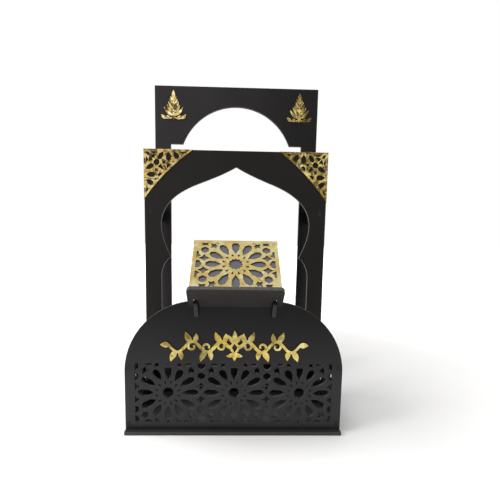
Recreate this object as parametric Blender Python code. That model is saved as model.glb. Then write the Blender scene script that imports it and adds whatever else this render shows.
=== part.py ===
"""Prayer corner stand with a lift-off Quran rest.

A flat-pack stand cut from 6 mm black board: a floor board, a pierced and
arched front board, a mihrab-shaped middle board and a tall back board, tied
together by tabbed side boards and rails.  Gold mirror-acrylic plates 2 mm
thick are laid on the front faces.  A small sloping book rest straddles the
top edge of the front board and lifts off upwards.

Units are metres, +Z is up, +Y runs from the front of the stand to the back.
Flat outlines are drawn in millimetres and scaled when a plate is made.
"""
import math

import bmesh
import bpy
from mathutils import Vector
from mathutils.geometry import delaunay_2d_cdt

MM = 0.001

# ---------------------------------------------------------------- dimensions
T = 6.0                     # board thickness
GOLD_T = 2.0                # mirror-acrylic thickness
GAP = 0.3                   # gap left between pieces that touch
WIDTH = 350.0               # width of every full-width board

FOOT_LIP = 8.6              # floor board in front of the front board
MIDDLE_Y = 136.0            # front face of the middle board
BACK_Y = 232.0              # front face of the back board
REAR_LIP = 8.6              # floor board behind the back board

# front board
FRONT_SHOULDER_R = 117.0    # corner arc of the three-centred arch
FRONT_SHOULDER_Z = 101.0    # height of the corner arc's centre
FRONT_TOP = 221.7           # crown height
WINDOW_X = 159.0            # half width of the pierced window
WINDOW_Z0, WINDOW_Z1 = 18.0, 116.4

# side boards of the front bay
SIDE_X = 169.2              # middle of the side board's thickness
SIDE_TOP = 121.0
SIDE_TAB_LOW = (10.0, 18.0)
SIDE_TAB_HIGH = (106.5, 115.5)
SIDE_TILE_Y = (17.5, 123.5)

# middle board
MIDDLE_TOP = 481.0
MIDDLE_SILL = 14.0          # height of the strip across the bottom
COLUMN_X = 144.0            # inner face of the columns
HORSESHOE_Z = 339.0         # widest level of the horseshoe
CUSP = (125.6, 278.5)       # inward point at the foot of the horseshoe
COLUMN_CAP_Z = 240.0        # where the column's curved cap turns upright
INFLECTION = (69.0, 419.7)  # where the ogee changes its curvature
OGEE_SLOPE = 0.385
APEX_Z = 451.0
APEX_SLOPE = 0.58

# back board
BACK_TOP = 636.5
BACK_SILL = 118.0
BACK_LEG_X = 141.8
BACK_SHOULDER_Z = 517.2
BACK_ARCH_R = 123.2
BACK_ARCH_Z = 473.5

# upper tie rails between the middle and back boards
RAIL_X = 163.4
RAIL_Z = (350.0, 381.0)
RAIL_TAB_Z = (361.0, 371.0)

# gold corner plates
CORNER_LEG = 93.0
CORNER_BOW = 5.6
CORNER_RIM = 3.9

# book rest: the board slopes up and back, the ledge stands square on its foot
REST_TILT = math.radians(43.5)
REST_FOOT = (-22.4, 237.3)  # (Y, Z) where the gold face meets the ledge
REST_W, REST_L = 142.0, 109.0
REST_CENTRE_S = 55.2        # rosette centre, measured up the slope
LEDGE_W, LEDGE_UP, LEDGE_DOWN = 146.0, 12.0, 32.0
LEDGE_R = 7.0
BRACKET_X = 60.5
BRACKET_TABS = ((20.5, 28.5), (84.0, 92.0))
HOOK_CLEAR = 0.4            # clearance each side of the front board
HOOK_FRONT_Z, HOOK_REAR_Z = 193.0, 182.0
REST_LIFT = 50.0            # how far the rest lifts to come clear

# the origin is under the middle of the whole stand
FRONT_MOST = REST_FOOT[0] - T * math.cos(REST_TILT) - LEDGE_UP * math.sin(REST_TILT)
REAR_MOST = BACK_Y + T + REAR_LIP
ORIGIN_Y = 0.5 * (FRONT_MOST + REAR_MOST)


# ------------------------------------------------------------ flat outlines
def arc(cx, cy, r, a0, a1, n):
    """Points on a circle from angle a0 to a1, in degrees."""
    return [(cx + r * math.cos(math.radians(a0 + (a1 - a0) * i / n)),
             cy + r * math.sin(math.radians(a0 + (a1 - a0) * i / n)))
            for i in range(n + 1)]


def bezier(p0, p1, p2, p3, n):
    pts = []
    for i in range(n + 1):
        t = i / n
        a, b, c, d = (1 - t) ** 3, 3 * t * (1 - t) ** 2, 3 * t * t * (1 - t), t ** 3
        pts.append((a * p0[0] + b * p1[0] + c * p2[0] + d * p3[0],
                    a * p0[1] + b * p1[1] + c * p2[1] + d * p3[1]))
    return pts


def rect(x0, y0, x1, y1):
    return [(x0, y0), (x1, y0), (x1, y1), (x0, y1)]


def round_rect(x0, y0, x1, y1, r_low, r_high, n=6):
    pts = arc(x0 + r_low, y0 + r_low, r_low, 180, 270, n)
    pts += arc(x1 - r_low, y0 + r_low, r_low, 270, 360, n)
    pts += arc(x1 - r_high, y1 - r_high, r_high, 0, 90, n)
    pts += arc(x0 + r_high, y1 - r_high, r_high, 90, 180, n)
    return pts


def ring(cx, cy, r, n, turn=0.0):
    return [(cx + r * math.cos(math.radians(turn + 360 * i / n)),
             cy + r * math.sin(math.radians(turn + 360 * i / n))) for i in range(n)]


def star(cx, cy, r_out, r_in, points, turn=0.0):
    pts = []
    for i in range(2 * points):
        a = math.radians(turn + 180 * i / points)
        r = r_out if i % 2 == 0 else r_in
        pts.append((cx + r * math.cos(a), cy + r * math.sin(a)))
    return pts


def flip_x(poly):
    return [(-x, y) for x, y in poly]


def flip_y(poly):
    return [(x, -y) for x, y in poly]


def swap(poly):
    return [(y, x) for x, y in poly]


def shift(poly, dx, dy):
    return [(x + dx, y + dy) for x, y in poly]


def both(poly):
    return [poly, flip_x(poly)]


def four(poly):
    return [poly, flip_x(poly), flip_y(poly), flip_x(flip_y(poly))]


def along(cx, cy, angle, points):
    """Place (distance, side) points along a ray from (cx, cy)."""
    a = math.radians(angle)
    dx, dy = math.cos(a), math.sin(a)
    return [(cx + r * dx - s * dy, cy + r * dy + s * dx) for r, s in points]


# -------------------------------------------------- twelve-fold strap lattice
def grow(poly, d, limit=1.7):
    """Outline moved outward by d, with sharp tips kept to limit times d."""
    n = len(poly)
    area = sum(poly[i][0] * poly[(i + 1) % n][1] - poly[(i + 1) % n][0] * poly[i][1] for i in range(n))
    turn = 1.0 if area > 0 else -1.0
    out = []
    for i in range(n):
        (xa, ya), (x, y), (xb, yb) = poly[i - 1], poly[i], poly[(i + 1) % n]
        la, lb = math.hypot(x - xa, y - ya), math.hypot(xb - x, yb - y)
        na = (turn * (y - ya) / la, -turn * (x - xa) / la)
        nb = (turn * (yb - y) / lb, -turn * (xb - x) / lb)
        mx, my = na[0] + nb[0], na[1] + nb[1]
        m = math.hypot(mx, my)
        reach = min(limit, 2.0 / m) * d
        out.append((x + mx / m * reach, y + my / m * reach))
    return out


def rosette(star_out, star_in, kite, petal, steep=0.0):
    """Openings around one twelve-pointed star.

    kite is (inner radius, outer radius, half width) of the small triangles;
    petal is (tip, shoulder, far shoulder, end, half width, half end width).
    The petals at 60 degrees to the horizontal are shorter by steep.
    """
    cuts = [star(0, 0, star_out, star_in, 12)]
    for i in range(12):
        cuts.append(along(0, 0, 15 + 30 * i, [(kite[0], 0), (kite[1], kite[2]), (kite[1], -kite[2])]))
    tip, near, far, end, w, w_end = petal
    for i in range(12):
        less = steep if i in (2, 4, 8, 10) else 0.0
        cuts.append(along(0, 0, 30 * i, [(tip, 0), (near, -w * 0.86), (far - less * 0.7, -w),
                                         (end - less, -w_end), (end - less, w_end),
                                         (far - less * 0.7, w), (near, w * 0.86)]))
    return cuts


def board_tile():
    """Openings of the book rest's lattice: half size 64.4 by 47.3 mm."""
    cuts = rosette(12.3, 9.7, (15.6, 21.6, 2.2), (22.6, 32.6, 42.6, 48.6, 6.6, 2.9))
    cuts += four(ring(51.0, 31.2, 7.2, 6, 90))
    cuts += both(ring(63.4, 0.0, 9.0, 6, 0))
    small = [[(43.6, 12.6), (48.7, 15.4), (51.4, 19.4), (54.1, 15.4),
              (59.2, 12.6), (54.2, 10.4), (51.4, 7.0), (48.6, 10.4)],
             [(57.6, 18.2), (64.6, 14.4), (64.6, 27.4), (61.6, 26.6), (61.0, 21.0)],
             [(45.0, 48.3), (48.3, 44.3), (45.6, 41.6), (51.2, 42.6),
              (56.8, 41.6), (54.1, 44.3), (57.4, 48.3)],
             [(33.2, 35.5), (36.6, 38.0), (41.0, 36.6), (39.4, 41.0), (41.2, 45.8),
              (37.0, 43.4), (33.6, 45.2), (33.8, 42.0), (31.0, 40.4), (33.4, 38.6)],
             [(26.4, 48.3), (30.2, 46.0), (34.0, 48.3)]]
    for p in small:
        cuts += four(grow(p, 0.75))
    return cuts


def panel_tile():
    """Openings of one square-set rosette tile, 106 mm pitch, 98.4 mm high."""
    cuts = rosette(10.3, 8.0, (14.4, 20.2, 2.0), (21.6, 31.0, 42.6, 48.6, 5.9, 2.7), 4.6)
    cuts += four(ring(53.0, 27.6, 7.0, 6, 90))
    small = [[(45.4, 10.8), (50.5, 13.4), (53.0, 16.6), (55.5, 13.4),
              (60.6, 10.8), (55.5, 8.8), (53.0, 5.4), (50.5, 8.8)],
             [(47.3, 50.2), (47.6, 42.6), (49.8, 40.2), (53.0, 38.8),
              (56.2, 40.2), (58.4, 42.6), (58.7, 50.2)],
             [(32.8, 32.0), (36.2, 34.0), (40.0, 32.2), (40.2, 36.2), (43.2, 39.4),
              (39.0, 39.8), (36.6, 43.2), (34.8, 40.0), (31.4, 39.2), (33.8, 36.2)],
             [(24.4, 50.2), (28.0, 45.8), (31.0, 45.3), (34.8, 45.8), (38.4, 50.2)],
             [(12.6, 50.2), (16.2, 46.4), (13.9, 43.6), (17.2, 43.9),
              (20.2, 42.8), (20.4, 50.2)]]
    for p in small:
        cuts += four(grow(p, 0.7))
    cuts += [p for q in ([(-3.8, 50.2), (0.0, 46.4), (3.8, 50.2)],) for p in (q, flip_y(q))]
    return cuts


PETAL_TOP = 42.2            # upright petals end square under the frame


# ------------------------------------------------------------ plate builder
def inside(pt, poly):
    x, y = pt
    hit = False
    j = len(poly) - 1
    for i in range(len(poly)):
        xi, yi = poly[i]
        xj, yj = poly[j]
        if (yi > y) != (yj > y) and x < (xj - xi) * (y - yi) / (yj - yi) + xi:
            hit = not hit
        j = i
    return hit


def box_of(poly):
    xs = [p[0] for p in poly]
    ys = [p[1] for p in poly]
    return min(xs), min(ys), max(xs), max(ys)


def holds(boxed, pt):
    return any(b[0] <= pt[0] <= b[2] and b[1] <= pt[1] <= b[3] and inside(pt, p)
               for p, b in boxed)


def plate(name, solid, holes=(), tiles=(), thick=T):
    """Flat plate lying in XZ, its front face at y = 0 and its back at y = thick.

    solid is a list of outlines that are joined, holes is a list of outlines
    that are taken away, and tiles is a list of (openings, frame) pairs whose
    openings are taken away only inside the frame outline.
    """
    loops = list(solid) + list(holes)
    for cuts, frame in tiles:
        loops += list(cuts) + [frame]
    verts, edges = [], []
    for loop in loops:
        start = len(verts)
        verts += [Vector((x, y)) for x, y in loop]
        edges += [(start + i, start + (i + 1) % len(loop)) for i in range(len(loop))]

    solid_b = [(p, box_of(p)) for p in solid]
    holes_b = [(p, box_of(p)) for p in holes]
    tiles_b = [([(p, box_of(p)) for p in cuts], [(frame, box_of(frame))]) for cuts, frame in tiles]

    def fill(points, lines):
        """Triangles of the finished region, wound anticlockwise."""
        v2, _, tris, _, _, _ = delaunay_2d_cdt(points, lines, [], 0, 1e-4)
        kept = []
        for f in tris:
            c = (sum(v2[i].x for i in f) / 3, sum(v2[i].y for i in f) / 3)
            if not holds(solid_b, c) or holds(holes_b, c):
                continue
            if any(holds(fr, c) and holds(cu, c) for cu, fr in tiles_b):
                continue
            a, b, d = (v2[i] for i in f)
            area = (b - a).cross(d - a)
            if abs(area) < 1e-7:
                continue
            kept.append(tuple(f) if area > 0 else tuple(reversed(f)))
        return v2, kept

    def rim(tris):
        sides = {(f[i], f[(i + 1) % 3]) for f in tris for i in range(3)}
        return [e for e in sides if (e[1], e[0]) not in sides]

    # the first fill finds the joined outline, the second one fills only that,
    # with the needless points on straight runs left out
    v2, kept = fill(verts, edges)
    follow = {}
    for a, b in rim(kept):
        follow.setdefault(a, []).append(b)
    loops, seen = [], set()
    for start in sorted(follow):
        if start in seen or len(follow[start]) != 1:
            continue
        loop, at = [], start
        while at not in seen:
            seen.add(at)
            loop.append(at)
            at = follow[at][0]
        loops.append(loop)
    verts, edges = [], []
    for loop in loops:
        pts = [v2[i] for i in loop]
        slim = []
        for i, q in enumerate(pts):
            a, b = (slim[-1] if slim else pts[i - 1]), pts[(i + 1) % len(pts)]
            if (b - a).length > 1e-6 and abs((q - a).cross(b - a)) / (b - a).length > 2e-3:
                slim.append(q)
        start = len(verts)
        verts += [Vector(q) for q in slim]
        edges += [(start + i, start + (i + 1) % len(slim)) for i in range(len(slim))]
    v2, kept = fill(verts, edges)

    bm = bmesh.new()
    front, back = {}, {}
    for f in kept:
        for i in f:
            if i not in front:
                front[i] = bm.verts.new((v2[i].x * MM, 0.0, v2[i].y * MM))
                back[i] = bm.verts.new((v2[i].x * MM, thick * MM, v2[i].y * MM))
    used = {}
    for f in kept:
        for a, b in ((f[0], f[1]), (f[1], f[2]), (f[2], f[0])):
            used[(a, b)] = True
    for f in kept:
        bm.faces.new([front[i] for i in f])
        bm.faces.new([back[i] for i in reversed(f)])
    for a, b in used:
        if (b, a) not in used:
            bm.faces.new([front[b], front[a], back[a], back[b]])
    bmesh.ops.dissolve_degenerate(bm, dist=1e-7, edges=bm.edges[:])
    # straight runs need no points between their ends
    flat = [v for v in bm.verts if len(v.link_edges) == 0]
    if flat:
        bmesh.ops.delete(bm, geom=flat, context='VERTS')
    mesh = bpy.data.meshes.new(name)
    bm.to_mesh(mesh)
    bm.free()
    mesh.shade_smooth()
    mesh.set_sharp_from_angle(angle=math.radians(28))
    obj = bpy.data.objects.new(name, mesh)
    bpy.context.scene.collection.objects.link(obj)
    return obj


def material(name, colour, rough, metal):
    mat = bpy.data.materials.new(name)
    mat.use_nodes = True
    bsdf = mat.node_tree.nodes["Principled BSDF"]
    bsdf.inputs["Base Color"].default_value = (*colour, 1.0)
    bsdf.inputs["Roughness"].default_value = rough
    bsdf.inputs["Metallic"].default_value = metal
    mat.diffuse_color = (*colour, 1.0)
    return mat


def black(obj, tone=0.030):
    obj.data.materials.append(material(obj.name + "_board", (tone, tone * 0.97, tone), 0.42, 0.0))
    return obj


def gold(obj):
    obj.data.materials.append(material(obj.name + "_mirror", (0.83, 0.62, 0.24), 0.12, 1.0))
    return obj


def place(obj, x, y, z, turn=None):
    """Put a plate's local origin at (x, y, z) mm, y counted from the front board."""
    obj.location = (x * MM, (y - ORIGIN_Y) * MM, z * MM)
    if turn is not None:
        obj.rotation_euler = turn
    return obj


# ----------------------------------------------------------------- outlines
def front_outline():
    cx = WIDTH / 2 - FRONT_SHOULDER_R
    rise = FRONT_TOP - FRONT_SHOULDER_R
    low = (cx ** 2 + FRONT_SHOULDER_Z ** 2 - rise ** 2) / (2 * (FRONT_SHOULDER_Z - rise))
    crown_r = FRONT_TOP - low
    meet = math.degrees(math.atan2(FRONT_SHOULDER_Z - low, cx))
    pts = [(WIDTH / 2, T + GAP)]
    pts += arc(cx, FRONT_SHOULDER_Z, FRONT_SHOULDER_R, 0, meet, 30)
    pts += arc(0, low, crown_r, meet, 180 - meet, 10)[1:-1]
    pts += arc(-cx, FRONT_SHOULDER_Z, FRONT_SHOULDER_R, 180 - meet, 180, 30)
    pts += [(-WIDTH / 2, T + GAP)]
    return pts


def crown_height(x):
    """Height of the front board's top edge at x, on the crown arc."""
    cx = WIDTH / 2 - FRONT_SHOULDER_R
    rise = FRONT_TOP - FRONT_SHOULDER_R
    low = (cx ** 2 + FRONT_SHOULDER_Z ** 2 - rise ** 2) / (2 * (FRONT_SHOULDER_Z - rise))
    return low + math.sqrt((FRONT_TOP - low) ** 2 - x * x)


def mihrab_half():
    """Right half of the middle opening, from the sill up to the apex."""
    pts = [(COLUMN_X, MIDDLE_SILL), (COLUMN_X, COLUMN_CAP_Z)]
    pts += bezier((COLUMN_X, COLUMN_CAP_Z), (COLUMN_X, COLUMN_CAP_Z + 17),
                  (CUSP[0] + 9.5, CUSP[1] - 5.5), CUSP, 9)[1:]
    pts += bezier(CUSP, (CUSP[0] + 8.4, CUSP[1] + 18), (COLUMN_X, HORSESHOE_Z - 20),
                  (COLUMN_X, HORSESHOE_Z), 9)[1:]
    pts += bezier((COLUMN_X, HORSESHOE_Z), (COLUMN_X, HORSESHOE_Z + 43),
                  (INFLECTION[0] + 40, INFLECTION[1] - 40 * OGEE_SLOPE), INFLECTION, 16)[1:]
    pts += bezier(INFLECTION, (INFLECTION[0] - 23, INFLECTION[1] + 23 * OGEE_SLOPE),
                  (22, APEX_Z - 22 * APEX_SLOPE), (0, APEX_Z), 8)[1:]
    return pts


def mihrab():
    half = mihrab_half()
    return half + flip_x(half[:-1])[::-1]


def back_opening():
    reach = math.sqrt(BACK_ARCH_R ** 2 - (BACK_SHOULDER_Z - BACK_ARCH_Z) ** 2)
    a0 = math.degrees(math.atan2(BACK_SHOULDER_Z - BACK_ARCH_Z, reach))
    pts = [(-BACK_LEG_X, BACK_SILL), (BACK_LEG_X, BACK_SILL), (BACK_LEG_X, BACK_SHOULDER_Z)]
    pts += arc(0, BACK_ARCH_Z, BACK_ARCH_R, a0, 180 - a0, 48)
    pts += [(-BACK_LEG_X, BACK_SHOULDER_Z)]
    return pts


# ---------------------------------------------------------- gold corner plate
def corner_curve(n=20, inset=0.0):
    """Bowed long side, from the end of the top leg to the end of the side leg."""
    chord = CORNER_LEG * math.sqrt(2)
    r = (chord * chord / 4 + CORNER_BOW ** 2) / (2 * CORNER_BOW)
    mid = CORNER_LEG / 2
    centre = mid + (r - CORNER_BOW) / math.sqrt(2)
    a = math.degrees(math.asin(chord / 2 / r))
    return centre, r + inset, arc(centre, centre, r + inset, 225 + a, 225 - a, n)


def corner_holes():
    """Openings in (across, down) millimetres from the plate's corner."""
    hub = (47.0, -10.5)

    def petal(angle, r0, r1, w):
        return along(hub[0], hub[1], 90 + angle,
                     [(r0, 0), (r0 + 5.2, w), (r1 - 2.6, w), (r1, 0), (r1 - 2.6, -w), (r0 + 5.2, -w)])

    one_side = [
        [(14.4, 5.0), (25.2, 5.0), (19.8, 8.3)],
        [(14.7, 12.0), (17.6, 10.9), (22.8, 10.3), (20.0, 13.4), (20.3, 16.6), (16.9, 14.8)],
        petal(33, 19.2, 34.0, 3.4),
        petal(0, 16.6, 31.6, 3.9),
        petal(-33, 19.0, 33.0, 3.8),
        [(70.0, 5.0), (80.6, 5.0), (74.8, 8.6)],
        star(38.4, 23.8, 4.3, 1.9, 4, 45),
        [(52.6, 20.8), (55.2, 22.4), (58.4, 19.8), (56.4, 25.2)],
        [(43.4, 29.4), (46.8, 26.0), (51.6, 28.6), (44.4, 36.0)],
    ]
    cuts = list(one_side) + [swap(p) for p in one_side]
    cuts.append([(5.4, 5.4), (9.6, 6.8), (11.4, 11.4), (6.8, 9.6)])
    cuts.append(ring(24.2, 24.2, 4.9, 8, 22.5))
    cuts.append([(32.2, 27.8), (38.6, 38.6), (27.8, 32.2)])
    cuts = [grow(p, 0.25 if len(p) in (4, 8) and p[0][0] + p[0][1] > 55 else 0.85) for p in cuts]
    # keep every opening inside the rim along the bowed side
    centre, r, _ = corner_curve(inset=CORNER_RIM)
    kept = []
    for poly in cuts:
        new = []
        for x, y in poly:
            d = math.hypot(x - centre, y - centre)
            if d < r:
                x, y = centre + (x - centre) * r / d, centre + (y - centre) * r / d
            new.append((x, y))
        kept.append(new)
    return kept


def corner_plate(name, side):
    _, _, curve = corner_curve()
    outline = [(0.0, 0.0)] + [(x, -y) for x, y in curve]
    holes = [[(x, -y) for x, y in p] for p in corner_holes()]
    if side > 0:
        outline = flip_x(outline)
        holes = [flip_x(p) for p in holes]
    return plate(name, [outline], holes, thick=GOLD_T)


# ------------------------------------------------------- leaf-scroll ornament
def stroke(points, w0, w1, bulge=0.0):
    """Closed outline around a line whose half width runs from w0 to w1."""
    left, right = [], []
    n = len(points)
    for i, (x, y) in enumerate(points):
        xa, ya = points[max(i - 1, 0)]
        xb, yb = points[min(i + 1, n - 1)]
        dx, dy = xb - xa, yb - ya
        d = math.hypot(dx, dy) or 1.0
        t = i / (n - 1)
        w = w0 + (w1 - w0) * t + bulge * math.sin(math.pi * t)
        left.append((x - dy / d * w, y + dx / d * w))
        right.append((x + dy / d * w, y - dx / d * w))
    return left + right[::-1]


def leaf(x, y, angle, length, width, bend=0.0, n=9):
    """Pointed leaf from (x, y); bend curls its tip sideways."""
    spine = []
    for i in range(n + 1):
        t = i / n
        a = math.radians(angle + bend * t)
        if i == 0:
            spine.append((x, y))
        else:
            px, py = spine[-1]
            spine.append((px + math.cos(a) * length / n, py + math.sin(a) * length / n))
    left, right = [], []
    for i, (px, py) in enumerate(spine):
        t = i / n
        a = math.radians(angle + bend * t)
        w = 0.35 + 0.5 * width * math.sin(math.pi * (0.12 + 0.88 * t) ** 0.9) if i < n else 0.3
        left.append((px - math.sin(a) * w, py + math.cos(a) * w))
        right.append((px + math.sin(a) * w, py - math.cos(a) * w))
    return left + right[::-1]


def curl(cx, cy, r0, r1, a0, a1, w0, w1, n=20):
    pts = []
    for i in range(n + 1):
        t = i / n
        a = math.radians(a0 + (a1 - a0) * t)
        r = r0 + (r1 - r0) * t
        pts.append((cx + r * math.cos(a), cy + r * math.sin(a)))
    return stroke(pts, w0, w1)


def front_ornament_shapes():
    """Leaf scroll 230 mm wide, drawn around its own middle."""
    shapes = []
    wave, amp, start = 47.0, 8.6, 6.0

    def vine(x):
        fade = min(1.0, (x - start) / 12.0)
        return amp * fade * math.sin(2 * math.pi * (x - start - 2.0) / wave)

    line = [(start + 100.0 * i / 44, vine(start + 100.0 * i / 44)) for i in range(45)]
    half = [stroke(line, 2.9, 1.9)]
    for k in range(4):
        x = start + 2.0 + wave * (0.25 + 0.5 * k)
        up = 1 if k % 2 == 0 else -1
        y = vine(x)
        if k < 3:
            half.append(curl(x + 0.5, y - up * 8.0, 7.6, 2.9, 90 * up, -215 * up, 2.0, 1.5, 14))
        half.append(leaf(x + 2.0, y - up * 0.6, 40 * up, 18.5, 8.6, 38 * up, 8))
        half.append(leaf(x - 3.0, y - up * 0.6, 124 * up, 14.5, 7.2, -40 * up, 8))
    half.append(leaf(start + 98.0, vine(start + 98.0) - 0.6, 24, 13.5, 8.4, -34, 8))
    shapes += half + [flip_x(p) for p in half]
    # centre: palmette of five leaves on a pierced lozenge
    shapes.append([(0, -15.5), (9.4, -1.0), (0, 11.0), (-9.4, -1.0)])
    shapes.append(leaf(0, 7.0, 90, 19.5, 7.2, 0, 8))
    shapes += both(leaf(2.0, 6.0, 66, 17.0, 5.6, -22, 8))
    shapes.append(leaf(0, -12.0, -90, 10.5, 6.0, 0, 8))
    shapes += both(leaf(1.5, -11.0, -44, 12.5, 5.6, 44, 8))
    return shapes


def front_ornament_holes():
    return [[(0, -9.4), (4.6, -1.0), (0, 5.4), (-4.6, -1.0)]]


def crest_shapes():
    """Pyramid-shaped leaf crest, 54 mm wide and 59 mm high."""
    shapes = [stroke([(0, -25.0 + 9.0 * i) for i in range(6)], 1.7, 1.1)]
    half = []
    for y, a, l, w, b in ((-21.0, 10, 26.5, 5.6, 54), (-15.0, 22, 21.5, 4.9, 50),
                          (-7.5, 26, 18.0, 4.7, 50), (0.5, 32, 14.0, 4.4, 44),
                          (8.5, 40, 10.5, 4.0, 36)):
        half.append(leaf(0.4, y, a, l, w, b, 8))
    half.append(stroke(bezier((0, -23.0), (7.0, -29.5), (14.0, -29.0), (20.0, -25.0), 8), 1.5, 1.2))
    half.append(leaf(17.0, -27.0, 16, 12.0, 5.8, 44, 8))
    half.append(leaf(9.0, -27.0, 62, 8.5, 3.8, -52, 7))
    shapes += half + [flip_x(p) for p in half]
    shapes.append(leaf(0, 14.0, 90, 16.0, 6.2, 0, 8))
    shapes.append([(0, -30.0), (4.6, -25.2), (0, -19.5), (-4.6, -25.2)])
    return shapes


# -------------------------------------------------------------------- build
def clip_square(cuts, top):
    """Upright petals of a panel tile end square at the given height."""
    out = []
    for p in cuts:
        b = box_of(p)
        if b[0] > -7 and b[2] < 7 and (b[3] > 44 or b[1] < -44) and b[3] - b[1] > 15:
            p = [(x, max(-top, min(top, y))) for x, y in p]
            new = []
            for q in p:
                if not any(abs(q[0] - r[0]) < 0.05 and abs(q[1] - r[1]) < 0.05 for r in new):
                    new.append(q)
            p = new
        out.append(p)
    return out


def tidy(poly):
    new = []
    for q in poly:
        if not new or math.hypot(q[0] - new[-1][0], q[1] - new[-1][1]) > 0.02:
            new.append(q)
    return new


def build():
    for obj in list(bpy.data.objects):
        bpy.data.objects.remove(obj, do_unlink=True)

    stand = bpy.data.objects.new("stand", None)
    rest = bpy.data.objects.new("book_rest", None)
    for e in (stand, rest):
        bpy.context.scene.collection.objects.link(e)
    rest.location = (0.0, (T / 2 - ORIGIN_Y) * MM, (crown_height(BRACKET_X)) * MM)
    bpy.context.view_layer.update()

    half = WIDTH / 2
    slot = T + 2 * GAP
    depth = REAR_MOST + FOOT_LIP

    # floor board: plan drawn as (x, y), laid flat
    tabs = {
        "front": [(-112.0, -72.0), (72.0, 112.0)],
        "middle": [(-166.0, -150.0), (150.0, 166.0)],
        "back": [(-112.0, -72.0), (72.0, 112.0)],
    }
    cuts = []
    for y, spans in ((0.0, tabs["front"]), (MIDDLE_Y, tabs["middle"]), (BACK_Y, tabs["back"])):
        for x0, x1 in spans:
            cuts.append(rect(x0 - GAP, y - GAP, x1 + GAP, y + T + GAP))
    for sx in (-1, 1):
        cuts.append(rect(sx * SIDE_X - slot / 2, 56.0 - GAP, sx * SIDE_X + slot / 2, 86.0 + GAP))
    base = plate("base_plate", [rect(-half, -FOOT_LIP, half, REAR_MOST)], cuts)
    black(base)
    # a quarter turn about X lays the drawn plan flat with its thickness downward
    place(base, 0, 0, T, (-math.pi / 2, 0, 0))

    # front board with its three-rosette window
    tile = clip_square(panel_tile(), PETAL_TOP)
    pitch = 2 * WINDOW_X / 3
    mid_z = 0.5 * (WINDOW_Z0 + WINDOW_Z1)
    k = pitch / 106.0
    tiles = []
    for i in (-1, 0, 1):
        frame = rect((i - 0.5) * pitch, WINDOW_Z0, (i + 0.5) * pitch, WINDOW_Z1)
        tiles.append(([shift([(x * k, y) for x, y in p], i * pitch, mid_z) for p in tile], frame))
    outline = [front_outline()] + [rect(x0, GAP, x1, T + GAP + 1) for x0, x1 in tabs["front"]]
    cuts = []
    for sx in (-1, 1):
        for z0, z1 in (SIDE_TAB_LOW, SIDE_TAB_HIGH):
            cuts.append(rect(sx * SIDE_X - slot / 2, z0 - GAP, sx * SIDE_X + slot / 2, z1 + GAP))
    front = black(plate("front_panel", outline, cuts, tiles), 0.034)
    place(front, 0, 0, 0)

    # side boards of the front bay, drawn along Y
    y0, y1 = T + GAP, MIDDLE_Y - GAP
    for sx, name in ((-1, "side_panel_left"), (1, "side_panel_right")):
        outline = [rect(y0, T + GAP, y1, SIDE_TOP), rect(56.0, GAP, 86.0, T + GAP + 1)]
        for z0, z1 in (SIDE_TAB_LOW, SIDE_TAB_HIGH):
            outline.append(rect(GAP, z0, y0 + 1, z1))
            outline.append(rect(y1 - 1, z0, MIDDLE_Y + T - GAP, z1))
        cy = 0.5 * (SIDE_TILE_Y[0] + SIDE_TILE_Y[1])
        frame = rect(SIDE_TILE_Y[0], WINDOW_Z0, SIDE_TILE_Y[1], WINDOW_Z1 - 6.4)
        hz = (WINDOW_Z1 - 6.4 - WINDOW_Z0) / (WINDOW_Z1 - WINDOW_Z0)
        cz = 0.5 * (WINDOW_Z0 + WINDOW_Z1 - 6.4)
        cuts = [shift([(x, y * hz) for x, y in p], cy, cz) for p in tile]
        side = black(plate(name, outline, [], [(cuts, frame)]))
        # a quarter turn about Z takes local X to +Y and the thickness to -X
        place(side, sx * SIDE_X + T / 2, 0, 0, (0, 0, math.pi / 2))

    # middle board
    outline = [rect(-half, T + GAP, half, MIDDLE_TOP)]
    outline += [rect(x0, GAP, x1, T + GAP + 1) for x0, x1 in tabs["middle"]]
    cuts = [mihrab()]
    for sx in (-1, 1):
        for z0, z1 in (SIDE_TAB_LOW, SIDE_TAB_HIGH):
            cuts.append(rect(sx * SIDE_X - slot / 2, z0 - GAP, sx * SIDE_X + slot / 2, z1 + GAP))
        cuts.append(rect(sx * RAIL_X - slot / 2, RAIL_TAB_Z[0] - GAP,
                         sx * RAIL_X + slot / 2, RAIL_TAB_Z[1] + GAP))
    place(black(plate("middle_panel", outline, cuts), 0.026), 0, MIDDLE_Y, 0)

    # back board
    outline = [rect(-half, T + GAP, half, BACK_TOP)]
    outline += [rect(x0, GAP, x1, T + GAP + 1) for x0, x1 in tabs["back"]]
    cuts = [back_opening()]
    for sx in (-1, 1):
        cuts.append(rect(sx * RAIL_X - slot / 2, RAIL_TAB_Z[0] - GAP,
                         sx * RAIL_X + slot / 2, RAIL_TAB_Z[1] + GAP))
    place(black(plate("back_panel", outline, cuts), 0.030), 0, BACK_Y, 0)

    # upper tie rails
    for sx, name in ((-1, "upper_rail_left"), (1, "upper_rail_right")):
        outline = [rect(MIDDLE_Y + T + GAP, RAIL_Z[0], BACK_Y - GAP, RAIL_Z[1]),
                   rect(MIDDLE_Y + GAP, RAIL_TAB_Z[0], BACK_Y + T - GAP, RAIL_TAB_Z[1])]
        place(black(plate(name, outline)), sx * RAIL_X + T / 2, 0, 0, (0, 0, math.pi / 2))

    # gold plates on the middle and back boards
    for sx, name in ((-1, "corner_plate_left"), (1, "corner_plate_right")):
        place(gold(corner_plate(name, sx)), sx * half, MIDDLE_Y - GAP - GOLD_T, MIDDLE_TOP)
    for sx, name in ((-1, "back_ornament_left"), (1, "back_ornament_right")):
        place(gold(plate(name, crest_shapes(), thick=GOLD_T)),
              sx * 135.0, BACK_Y - GAP - GOLD_T, 597.0)
    place(gold(plate("front_ornament", front_ornament_shapes(), front_ornament_holes(), thick=GOLD_T)),
          0, -GAP - GOLD_T, 145.0)

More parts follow.
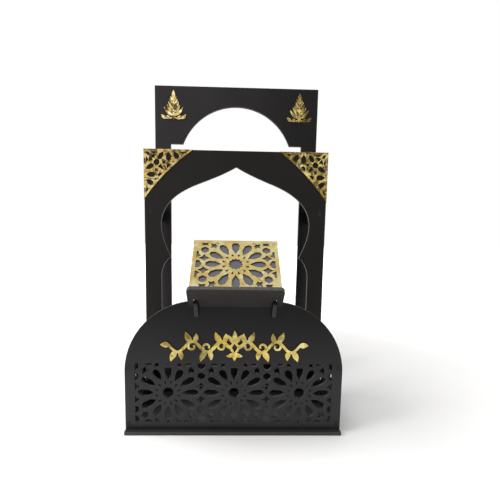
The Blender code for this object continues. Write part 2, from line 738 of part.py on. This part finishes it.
    # book rest, drawn up the slope: local X across, local Z up the slope
    tilt = REST_TILT - math.pi / 2      # turns local Z from upright to the slope
    u = (math.cos(REST_TILT), math.sin(REST_TILT))
    n = (-math.sin(REST_TILT), math.cos(REST_TILT))

    def on_rest(s, m):
        """(Y, Z) of a point s up the slope and m above the gold face."""
        return REST_FOOT[0] + s * u[0] + m * n[0], REST_FOOT[1] + s * u[1] + m * n[1]

    frame = rect(-64.4, -47.3, 64.4, 47.3)
    lattice = plate("book_lattice", [rect(-REST_W / 2, GAP - REST_CENTRE_S, REST_W / 2, REST_L - REST_CENTRE_S)],
                    [], [(board_tile(), frame)], GOLD_T)
    gold(lattice)
    y, z = on_rest(REST_CENTRE_S, 0.0)
    place(lattice, 0, y, z, (tilt, 0, 0))

    cuts = []
    for sx in (-1, 1):
        for s0, s1 in BRACKET_TABS:
            cuts.append(rect(sx * BRACKET_X - slot / 2 - (0.6 if sx > 0 else 0), s0 - GAP,
                             sx * BRACKET_X + slot / 2 + (0.6 if sx < 0 else 0), s1 + GAP))
    backing = black(plate("book_board", [rect(-REST_W / 2, GAP, REST_W / 2, REST_L)], cuts), 0.05)
    y, z = on_rest(0.0, -GOLD_T - GAP)
    place(backing, 0, y, z, (tilt, 0, 0))

    # ledge: local Z is the board's outward normal, thickness runs up the slope
    outline = round_rect(-LEDGE_W / 2, -LEDGE_DOWN, LEDGE_W / 2, LEDGE_UP, 2.5, LEDGE_R)
    cuts = [rect(sx * BRACKET_X - 3.9, -LEDGE_DOWN - 2, sx * BRACKET_X + 3.9, LEDGE_UP - 26.0)
            for sx in (-1, 1)]
    ledge = black(plate("book_lip", [outline], cuts), 0.034)
    y, z = on_rest(-T, 0.0)
    place(ledge, 0, y, z, (REST_TILT, 0, 0))

    # brackets: upright plates in YZ
    top = crown_height(BRACKET_X - T / 2) + GAP
    under = -GOLD_T - GAP - T - GAP
    for sx, name in ((-1, "book_bracket_left"), (1, "book_bracket_right")):
        nose_back = on_rest(GAP, -20.6)
        nose_top = on_rest(-T - 3.2, -20.6)
        nose_low = on_rest(-T - 5.6, -23.6)
        rear_top = on_rest(BRACKET_TABS[1][1] + 3.0, under)
        outline = [on_rest(GAP, under), nose_back, nose_top, nose_low,
                   (-5.4, HOOK_FRONT_Z + 1.6), (-3.8, HOOK_FRONT_Z), (-HOOK_CLEAR, HOOK_FRONT_Z),
                   (-HOOK_CLEAR, top), (T + HOOK_CLEAR, top),
                   (T + HOOK_CLEAR, HOOK_REAR_Z), (T + 9.0, HOOK_REAR_Z), (T + 11.0, HOOK_REAR_Z + 2.0)]
        outline += bezier((T + 11.0, HOOK_REAR_Z + 6.0), (T + 13.0, 226.0),
                          (rear_top[0] - 12.0, rear_top[1] - 34.0), (rear_top[0] + 1.5, rear_top[1] - 7.0), 12)
        outline.append(rear_top)
        tabs_up = []
        for s0, s1 in BRACKET_TABS:
            tabs_up.append([on_rest(s0, under - 1.0), on_rest(s1, under - 1.0),
                            on_rest(s1, -GOLD_T - 2 * GAP), on_rest(s0, -GOLD_T - 2 * GAP)])
        shapes = [tidy(outline)] + tabs_up
        bracket = black(plate(name, shapes), 0.030)
        place(bracket, sx * BRACKET_X + T / 2, 0, 0, (0, 0, math.pi / 2))

    rest_nodes = {"book_board", "book_lattice", "book_lip", "book_bracket_left", "book_bracket_right"}
    bpy.context.view_layer.update()
    for obj in [o for o in bpy.data.objects if o.type == 'MESH']:
        owner = rest if obj.name in rest_nodes else stand
        obj.parent = owner
        obj.matrix_parent_inverse = owner.matrix_world.inverted()
    bpy.context.view_layer.update()


build()
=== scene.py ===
"""Looks for the prayer corner stand with its lift-off book rest.

Satin black boards with laser-cut edges, gold mirror-acrylic plates, a pale
floor and soft studio light.  Everything is in metres, in the CAD's frame.
"""
import math

import bpy
from mathutils import Matrix, Vector


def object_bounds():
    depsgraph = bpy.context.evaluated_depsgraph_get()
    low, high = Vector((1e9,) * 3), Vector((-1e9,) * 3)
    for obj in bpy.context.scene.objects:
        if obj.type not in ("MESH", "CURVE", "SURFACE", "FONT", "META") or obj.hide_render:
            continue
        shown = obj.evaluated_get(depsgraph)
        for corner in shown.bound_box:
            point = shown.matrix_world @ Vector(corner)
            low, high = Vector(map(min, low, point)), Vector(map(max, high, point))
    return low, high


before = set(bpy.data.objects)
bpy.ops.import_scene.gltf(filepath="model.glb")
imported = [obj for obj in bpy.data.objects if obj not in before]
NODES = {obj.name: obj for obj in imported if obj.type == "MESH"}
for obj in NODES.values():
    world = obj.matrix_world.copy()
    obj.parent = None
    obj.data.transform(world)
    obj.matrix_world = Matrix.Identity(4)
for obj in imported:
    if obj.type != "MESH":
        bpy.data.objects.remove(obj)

CAD_LO, CAD_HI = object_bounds()
scene = bpy.context.scene

FLOOR_Z = CAD_LO.z
CENTRE_X = 0.5 * (CAD_LO.x + CAD_HI.x)


# --------------------------------------------------------------- node helpers
class Tree:
    """Small helper that adds and links shader nodes."""

    def __init__(self, tree):
        self.tree = tree
        self.tree.nodes.clear()

    def add(self, kind, **props):
        node = self.tree.nodes.new(kind)
        for key, value in props.items():
            setattr(node, key, value)
        return node

    def link(self, out, socket):
        self.tree.links.new(out, socket)

    def math(self, op, a, b=None, clamp=False):
        node = self.add("ShaderNodeMath", operation=op, use_clamp=clamp)
        for i, v in enumerate((a, b)):
            if v is None:
                continue
            if isinstance(v, (int, float)):
                node.inputs[i].default_value = v
            else:
                self.link(v, node.inputs[i])
        return node.outputs[0]

    def ramp(self, value, stops, interpolation="LINEAR"):
        node = self.add("ShaderNodeValToRGB")
        node.color_ramp.interpolation = interpolation
        el = node.color_ramp.elements
        while len(el) > 1:
            el.remove(el[0])
        el[0].position = stops[0][0]
        el[0].color = (*stops[0][1], 1.0)
        for pos, col in stops[1:]:
            e = el.new(pos)
            e.color = (*col, 1.0)
        self.link(value, node.inputs["Fac"])
        return node.outputs["Color"]

    def span(self, value, a, b, lo, hi):
        node = self.add("ShaderNodeMapRange", clamp=True)
        self.link(value, node.inputs["Value"])
        node.inputs["From Min"].default_value = a
        node.inputs["From Max"].default_value = b
        node.inputs["To Min"].default_value = lo
        node.inputs["To Max"].default_value = hi
        return node.outputs["Result"]

    def noise(self, vector, scale, detail=3.0, rough=0.5, distort=0.0):
        node = self.add("ShaderNodeTexNoise")
        self.link(vector, node.inputs["Vector"])
        node.inputs["Scale"].default_value = scale
        node.inputs["Detail"].default_value = detail
        node.inputs["Roughness"].default_value = rough
        node.inputs["Distortion"].default_value = distort
        return node.outputs["Fac"]

    def mix(self, fac, a, b):
        node = self.add("ShaderNodeMix", data_type="RGBA", clamp_factor=True)
        self.link(fac, node.inputs["Factor"])
        for v, name in ((a, "A"), (b, "B")):
            sock = [s for s in node.inputs if s.name == name and s.type == "RGBA"][0]
            if isinstance(v, tuple):
                sock.default_value = (*v, 1.0)
            else:
                self.link(v, sock)
        return [s for s in node.outputs if s.type == "RGBA"][0]

    def lighten(self, colour, value):
        node = self.add("ShaderNodeVectorMath", operation="SCALE")
        self.link(colour, node.inputs[0])
        self.link(value, node.inputs["Scale"])
        return node.outputs[0]

    def stretch(self, vector, scale, offset=(0, 0, 0)):
        node = self.add("ShaderNodeMapping")
        self.link(vector, node.inputs["Vector"])
        node.inputs["Scale"].default_value = scale
        node.inputs["Location"].default_value = offset
        return node.outputs["Vector"]

    def bump(self, height, strength, distance, normal=None):
        node = self.add("ShaderNodeBump")
        node.inputs["Strength"].default_value = strength
        node.inputs["Distance"].default_value = distance
        self.link(height, node.inputs["Height"])
        if normal is not None:
            self.link(normal, node.inputs["Normal"])
        return node.outputs["Normal"]

    def facing(self, coords, axis):
        """1 on the two broad faces of a plate whose normal is axis, 0 on its cut edges."""
        dot = self.add("ShaderNodeVectorMath", operation="DOT_PRODUCT")
        self.link(coords.outputs["Normal"], dot.inputs[0])
        dot.inputs[1].default_value = axis
        return self.math("ABSOLUTE", dot.outputs["Value"])


def new_material(name):
    mat = bpy.data.materials.new(name)
    mat.use_nodes = True
    t = Tree(mat.node_tree)
    out = t.add("ShaderNodeOutputMaterial")
    bsdf = t.add("ShaderNodeBsdfPrincipled")
    t.link(bsdf.outputs["BSDF"], out.inputs["Surface"])
    return mat, t, bsdf


def satin_board(name, axis, tone, seed, tint=(1.0, 0.97, 0.99), rough=0.34, gloss=0.5,
                edge=0.016, painted_light_fades=()):
    """Black-painted 6 mm board: eggshell faces with faint rubs and dust specks, and
    laser-cut edges that are a little rougher, with the beam's fine striations.
    Each fade paints the black lighter or darker along the board (painted light and shade)."""
    mat, t, bsdf = new_material(name)
    coords = t.add("ShaderNodeTexCoord")
    obj = coords.outputs["Object"]
    shifted = t.stretch(obj, (1, 1, 1), (seed * 0.173, seed * 0.091, seed * 0.137))
    face = t.facing(coords, axis)

    # paint: cloudy tone, fine grain, a few soft rubs
    cloud = t.noise(shifted, 9.0, 4.0, 0.55)
    grain = t.noise(shifted, 1500.0, 2.0, 0.6)
    rub = t.noise(t.stretch(shifted, (1.0, 1.0, 0.25)), 42.0, 5.0, 0.7, 0.6)
    dark = tuple(tone * c * 0.86 for c in tint)
    light = tuple(tone * c * 1.16 for c in tint)
    paint = t.mix(t.span(cloud, 0.35, 0.68, 0.0, 1.0), dark, light)
    paint = t.mix(t.span(rub, 0.60, 0.80, 0.0, 0.20), paint, tuple(tone * 1.9 for _ in tint))
    specks = t.span(t.noise(shifted, 620.0, 1.0, 0.5), 0.74, 0.80, 0.0, 0.16)
    paint = t.mix(specks, paint, (0.16, 0.155, 0.15))
    for part, a, b, ka, kb in painted_light_fades:
        # painted light and shade: the black is made lighter towards one end of the board and darker towards
        # the other, standing in for how the light falls along it
        place = t.add("ShaderNodeSeparateXYZ")
        t.link(t.add("ShaderNodeNewGeometry").outputs["Position"], place.inputs[0])
        paint = t.lighten(paint, t.span(place.outputs[part], a, b, ka, kb))

    # cut edge: charred brown-black; the rounded corner between face and edge is lighter in patches
    along = tuple(60.0 if abs(c) > 0.5 else 900.0 for c in axis)
    lines = t.noise(t.stretch(obj, along), 1.0, 2.0, 0.5)
    char = t.mix(t.span(lines, 0.3, 0.7, 0.0, 1.0),
                 (edge * 0.65, edge * 0.62, edge * 0.58), (edge * 1.35, edge * 1.31, edge * 1.26))
    on_face = t.span(face, 0.80, 0.97, 0.0, 1.0)
    base = t.mix(on_face, char, paint)
    corner_patches = t.math("MULTIPLY", t.span(face, 0.25, 0.60, 0.0, 1.0), t.span(face, 0.98, 0.80, 0.0, 1.0))
    corner_patches = t.math("MULTIPLY", corner_patches, t.span(t.noise(shifted, 130.0, 3.0, 0.6), 0.42, 0.66, 0.1, 0.55))
    base = t.mix(corner_patches, base, (0.050, 0.048, 0.047))
    t.link(base, bsdf.inputs["Base Color"])

    r_face = t.math("ADD", t.span(cloud, 0.3, 0.7, rough - 0.05, rough + 0.05),
                    t.span(rub, 0.5, 0.8, 0.0, 0.09))
    r_edge = t.span(lines, 0.3, 0.7, 0.44, 0.60)
    mixer = t.add("ShaderNodeMix", data_type="FLOAT")
    t.link(on_face, mixer.inputs["Factor"])
    t.link(r_edge, mixer.inputs["A"])
    t.link(r_face, mixer.inputs["B"])
    t.link(mixer.outputs["Result"], bsdf.inputs["Roughness"])
    bsdf.inputs["Specular IOR Level"].default_value = gloss
    bsdf.inputs["Specular Tint"].default_value = (*(min(1.0, 0.5 + 0.5 * c) for c in tint), 1.0)

    peel = t.noise(shifted, 260.0, 2.0, 0.5)
    normal = t.bump(peel, 0.10, 0.0004)
    normal = t.bump(grain, 0.16, 0.00012, normal)
    edge_h = t.math("MULTIPLY", lines, t.span(face, 0.75, 0.35, 0.0, 1.0))
    normal = t.bump(edge_h, 0.5, 0.00035, normal)
    t.link(normal, bsdf.inputs["Normal"])
    return mat


def gold_mirror(name, axis, seed, base=(0.84, 0.65, 0.24), wave=1.0, contrast=1.0, fine=1.0):
    """2 mm gold mirror acrylic: a slightly wavy mirror face with faint finger
    marks, and darker, amber see-through cut edges."""
    mat, t, bsdf = new_material(name)
    coords = t.add("ShaderNodeTexCoord")
    obj = coords.outputs["Object"]
    shifted = t.stretch(obj, (1, 1, 1), (seed * 0.211, seed * 0.057, seed * 0.119))
    face = t.facing(coords, axis)
    on_face = t.span(face, 0.72, 0.95, 0.0, 1.0)

    # the film's colour drifts between lemon, straw and copper
    drift = t.noise(shifted, 26.0 * fine, 2.0, 0.45, 0.3)
    blotch = t.noise(shifted, 95.0 * fine, 1.0, 0.45, 0.5)
    warm = tuple(c * k for c, k in zip(base, (0.95, 0.86, 0.70)))
    pale = tuple(min(1.0, c * k) for c, k in zip(base, (1.06, 1.12, 1.35)))
    film = t.mix(t.span(drift, 0.36, 0.64, 0.0, 1.0), warm, pale)
    # painted highlight and painted reflection: darker copper blotches and pale, near-white blotches on the
    # mirror face stand in for the dark and bright things it reflects
    painted_dark_patch = tuple(c * k for c, k in zip(base, (0.66, 0.50, 0.32)))
    film = t.mix(t.span(blotch, 0.58, 0.72, 0.0, 0.6 * contrast), film, painted_dark_patch)
    painted_glint = tuple(min(1.0, c * k) for c, k in zip(base, (1.16, 1.40, 2.3)))
    film = t.mix(t.span(blotch, 0.42, 0.28, 0.0, 0.9 * contrast), film, painted_glint)
    cut = t.mix(t.span(drift, 0.3, 0.7, 0.0, 1.0), (0.30, 0.15, 0.028), (0.46, 0.26, 0.05))
    t.link(t.mix(on_face, cut, film), bsdf.inputs["Base Color"])
    metal = t.span(on_face, 0.0, 1.0, 0.55, 1.0)
    t.link(metal, bsdf.inputs["Metallic"])

    marks = t.noise(t.stretch(shifted, (1.0, 1.0, 0.6)), 60.0, 4.0, 0.6, 1.0)
    r = t.math("ADD", t.span(marks, 0.5, 0.8, 0.06, 0.16), t.span(on_face, 0.0, 1.0, 0.22, 0.0))
    t.link(r, bsdf.inputs["Roughness"])

    # acrylic sheet is never flat: long swells plus a short shiver
    swell = t.noise(shifted, 15.0, 1.0, 0.4)
    shiver = t.noise(shifted, 48.0, 1.0, 0.4)
    normal = t.bump(swell, 1.0, 0.010 * wave)
    normal = t.bump(shiver, 1.0, 0.0016 * wave, normal)
    t.link(normal, bsdf.inputs["Normal"])
    return mat


# -------------------------------------------------------------------- finishes
TILT = math.radians(43.5)                         # slope of the book rest
SLOPE_N = (0.0, -math.sin(TILT), math.cos(TILT))  # out of its gold face
SLOPE_U = (0.0, math.cos(TILT), math.sin(TILT))   # up the slope
X, Y, Z = (1.0, 0.0, 0.0), (0.0, 1.0, 0.0), (0.0, 0.0, 1.0)

BOARDS = {
    # node: (plate normal, tone, seed, tint, gloss, edge tone, painted light and shade from one end to the
    # other)
    # tone and tint are set board by board to how dark each board looks under the studio light, so their
    # differences are partly painted light and shade; the lighter edge tones of front_panel and middle_panel
    # stand in for their lit rims (painted highlight)
    "base_plate": (Z, 0.011, 1, (0.98, 0.97, 1.05), 0.50, 0.028,
                   ("Y", -0.062, -0.012, 3.6, 0.15), ("Y", -0.106, -0.092, 0.55, 1.0)),
    "front_panel": (Y, 0.0075, 2, (1.0, 0.94, 1.04), 0.31, 0.045, ("Z", 0.08, 0.22, 1.75, 0.05)),
    "side_panel_left": (X, 0.005, 3, (1.0, 0.97, 0.99), 0.30, 0.012),
    "side_panel_right": (X, 0.005, 4, (1.0, 0.97, 0.99), 0.30, 0.012),
    "middle_panel": (Y, 0.005, 5, (1.0, 0.90, 0.82), 0.36, 0.030, ("Z", 0.20, 0.42, 0.3, 1.1)),
    "back_panel": (Y, 0.010, 6, (1.0, 0.90, 0.98), 0.46, 0.020, ("X", -0.06, 0.13, 1.1, 0.15)),
    "upper_rail_left": (X, 0.005, 7, (1.0, 0.97, 0.97), 0.35, 0.012),
    "upper_rail_right": (X, 0.005, 8, (1.0, 0.97, 0.97), 0.35, 0.012),
    # the book board's grey-blue tone stands in for the bright sky its glossy black face reflects (painted
    # reflection)
    "book_board": (SLOPE_N, 0.062, 9, (0.92, 0.94, 1.16), 0.90, 0.020),
    "book_lip": (SLOPE_U, 0.013, 10, (0.99, 1.00, 1.00), 0.44, 0.050),
    "book_bracket_left": (X, 0.010, 11, (1.0, 0.98, 0.98), 0.42, 0.016),
    "book_bracket_right": (X, 0.010, 12, (1.0, 0.98, 0.98), 0.42, 0.016),
}
GOLDS = {
    # node: (plate normal, seed, base, waviness, film contrast, film scale); the base is set plate by plate to
    # how bright each looks under the light, so the differences between plates are painted light and shade,
    # and film contrast sets the strength of the painted glints and dark reflections
    "corner_plate_left": (Y, 21, (0.68, 0.52, 0.19), 1.2, 1.0, 1.0),
    "corner_plate_right": (Y, 22, (0.82, 0.64, 0.20), 1.2, 1.0, 1.0),
    "back_ornament_left": (Y, 23, (0.95, 0.78, 0.32), 1.2, 0.9, 1.2),
    "back_ornament_right": (Y, 24, (0.76, 0.60, 0.21), 1.2, 1.1, 1.2),
    "front_ornament": (Y, 25, (0.57, 0.44, 0.12), 1.6, 1.7, 1.3),
    "book_lattice": (SLOPE_N, 26, (0.60, 0.49, 0.195), 0.60, 0.9, 1.3),
}


def dress(node, mat, bevel):
    obj = NODES[node]
    if not obj.material_slots:
        obj.data.materials.append(mat)
    for s in obj.material_slots:
        s.link = "OBJECT"
        s.material = mat
    weld = obj.modifiers.new("weld", "WELD")
    weld.merge_threshold = 0.00002
    if bevel:
        edge = obj.modifiers.new("edge", "BEVEL")
        edge.width = bevel
        edge.segments = 2
        edge.limit_method = "ANGLE"
        edge.angle_limit = math.radians(40)
        edge.harden_normals = False
        edge.use_clamp_overlap = True


for node, (axis, tone, seed, tint, gloss, edge, *painted_light_fades) in BOARDS.items():
    paint = satin_board("satin_" + node, axis, tone, seed, tint, gloss=gloss, edge=edge, painted_light_fades=painted_light_fades)
    dress(node, paint, 0.00035)
for node, (axis, seed, base, wave, contrast, fine) in GOLDS.items():
    dress(node, gold_mirror("mirror_" + node, axis, seed, base, wave, contrast, fine), 0.00015)


# ----------------------------------------------------------------------- stage
def make_floor():
    mesh = bpy.data.meshes.new("floor")
    r, n = 14.0, 96
    verts = [(r * math.cos(2 * math.pi * i / n), r * math.sin(2 * math.pi * i / n), FLOOR_Z - 0.0002)
             for i in range(n)]
    mesh.from_pydata(verts, [], [list(range(n))])
    obj = bpy.data.objects.new("floor", mesh)
    scene.collection.objects.link(obj)
    mat, t, bsdf = new_material("pale_floor")
    coords = t.add("ShaderNodeTexCoord")
    paper = t.noise(coords.outputs["Object"], 3.0, 2.0, 0.5)
    white = t.mix(t.span(paper, 0.3, 0.7, 0.0, 1.0), (0.82, 0.82, 0.82), (0.84, 0.84, 0.84))
    where = t.add("ShaderNodeSeparateXYZ")
    t.link(coords.outputs["Object"], where.inputs[0])
    # painted shadow: the floor colour is made softly greyer in a patch beside the object, on the side away
    # from the key, standing in for its soft shadow
    side = t.add("ShaderNodeVectorMath", operation="DISTANCE")
    t.link(coords.outputs["Object"], side.inputs[0])
    side.inputs[1].default_value = (0.12, 0.20, 0.0)
    white = t.lighten(white, t.span(side.outputs["Value"], 0.12, 0.50, 0.70, 1.0))
    # out in front of the object, on the viewer's side, the floor turns dark grey
    t.link(t.mix(t.span(where.outputs["Y"], -0.32, -0.80, 0.0, 1.0), white, (0.36, 0.36, 0.37)),
           bsdf.inputs["Base Color"])
    bsdf.inputs["Roughness"].default_value = 0.85
    bsdf.inputs["Specular IOR Level"].default_value = 0.1
    # painted light: the floor glows away from the object, most behind it, so the sweep stays white where the
    # softboxes fall off; camera rays see a further glow out to the distance
    away = t.add("ShaderNodeVectorMath", operation="LENGTH")
    t.link(coords.outputs["Object"], away.inputs[0])
    behind = t.span(where.outputs["Y"], -0.30, 0.30, 0.25, 1.0)
    glow = t.math("MULTIPLY", behind, t.span(away.outputs["Value"], 0.6, 2.6, 0.0, 0.85))
    seen = t.add("ShaderNodeLightPath").outputs["Is Camera Ray"]
    far = t.math("MULTIPLY", seen, t.span(away.outputs["Value"], 0.7, 2.0, 0.0, 0.8))
    t.link(t.math("ADD", glow, far), bsdf.inputs["Emission Strength"])
    bsdf.inputs["Emission Color"].default_value = (1.0, 1.0, 1.0, 1.0)
    obj.data.materials.append(mat)
    return obj


make_floor()


def softbox(name, where, aim, w, h, power, colour=(1.0, 1.0, 1.0), mirrored=True):
    data = bpy.data.lights.new(name, "AREA")
    data.shape = "RECTANGLE"
    data.size, data.size_y = w, h
    data.energy = power
    data.color = colour
    obj = bpy.data.objects.new(name, data)
    scene.collection.objects.link(obj)
    obj.visible_glossy = mirrored
    obj.location = where
    obj.rotation_mode = "QUATERNION"
    obj.rotation_quaternion = (Vector(aim) - Vector(where)).to_track_quat("-Z", "Y")
    return obj


softbox("overhead", (-0.10, -0.05, 1.7), (0.0, 0.05, 0.2), 1.0, 1.0, 11.0, mirrored=False)
softbox("key_left", (-1.9, -0.35, 1.25), (0.0, 0.10, 0.05), 1.5, 1.5, 60.0, (1.0, 0.99, 0.98), mirrored=False)

world = bpy.data.worlds.new("studio")
scene.world = world
world.use_nodes = True
w = Tree(world.node_tree)
out = w.add("ShaderNodeOutputWorld")
coords = w.add("ShaderNodeTexCoord")
split = w.add("ShaderNodeSeparateXYZ")
w.link(coords.outputs["Generated"], split.inputs[0])
# the room: white beyond the object, dimmer on the viewer's side, bright overhead
depth = w.span(split.outputs["Y"], -0.70, 0.60, 0.0, 1.0)
room = w.ramp(depth, [(0.0, (0.50, 0.50, 0.51)), (0.45, (0.42, 0.42, 0.42)), (1.0, (0.60, 0.60, 0.60))])
room = w.lighten(room, w.span(split.outputs["X"], -0.55, 0.45, 1.45, 0.70))
# soft clouds of light and shade stand for the walls, furniture and windows
blobs = w.noise(coords.outputs["Generated"], 7.0, 2.0, 0.55, 0.4)
shade = w.ramp(blobs, [(0.42, (0.26, 0.26, 0.27)), (0.58, (1.90, 1.86, 1.74))])
mult = w.add("ShaderNodeMix", data_type="RGBA", blend_type="MULTIPLY")
mult.inputs["Factor"].default_value = 1.0
cols = [s for s in mult.inputs if s.type == "RGBA"]
w.link(room, cols[0])
w.link(shade, cols[1])
room = [s for s in mult.outputs if s.type == "RGBA"][0]
# an even, bright ceiling
lit = w.mix(w.span(split.outputs["Z"], 0.55, 0.92, 0.0, 1.0), room, (1.00, 1.00, 1.01))
bg_light = w.add("ShaderNodeBackground")
w.link(lit, bg_light.inputs["Color"])
bg_light.inputs["Strength"].default_value = 1.0
bg_seen = w.add("ShaderNodeBackground")
bg_seen.inputs["Color"].default_value = (1.0, 1.0, 1.0, 1.0)
bg_seen.inputs["Strength"].default_value = 1.0
path = w.add("ShaderNodeLightPath")
pick = w.add("ShaderNodeMixShader")
w.link(path.outputs["Is Camera Ray"], pick.inputs[0])
w.link(bg_light.outputs[0], pick.inputs[1])
w.link(bg_seen.outputs[0], pick.inputs[2])
w.link(pick.outputs[0], out.inputs["Surface"])

scene.view_settings.view_transform = "Standard"
scene.view_settings.look = "None"
scene.view_settings.exposure = 0.0
scene.view_settings.gamma = 1.0


# ---------------------------------------------------------------------- camera
def make_camera():
    pitch, yaw, roll = 0.106776, 0.0255313, 0.0161106
    cp, sp = math.cos(pitch), math.sin(pitch)
    cy, sy = math.cos(yaw), math.sin(yaw)
    fwd = Vector((sy * cp, cy * cp, -sp))
    right = Vector((cy, -sy, 0.0))
    up = right.cross(fwd)
    r2 = right * math.cos(roll) + up * math.sin(roll)
    u2 = -right * math.sin(roll) + up * math.cos(roll)
    data = bpy.data.cameras.new("camera")
    data.sensor_width = 36.0
    data.lens = 23.551
    data.shift_x, data.shift_y = 0.02041, 0.04543
    data.clip_start, data.clip_end = 0.01, 60.0
    cam = bpy.data.objects.new("camera", data)
    scene.collection.objects.link(cam)
    m = Matrix((r2, u2, -fwd)).transposed().to_4x4()
    m.translation = Vector((-0.006614, -0.611000, 0.317556))
    cam.matrix_world = m
    scene.camera = cam


make_camera()

bpy.context.view_layer.update()
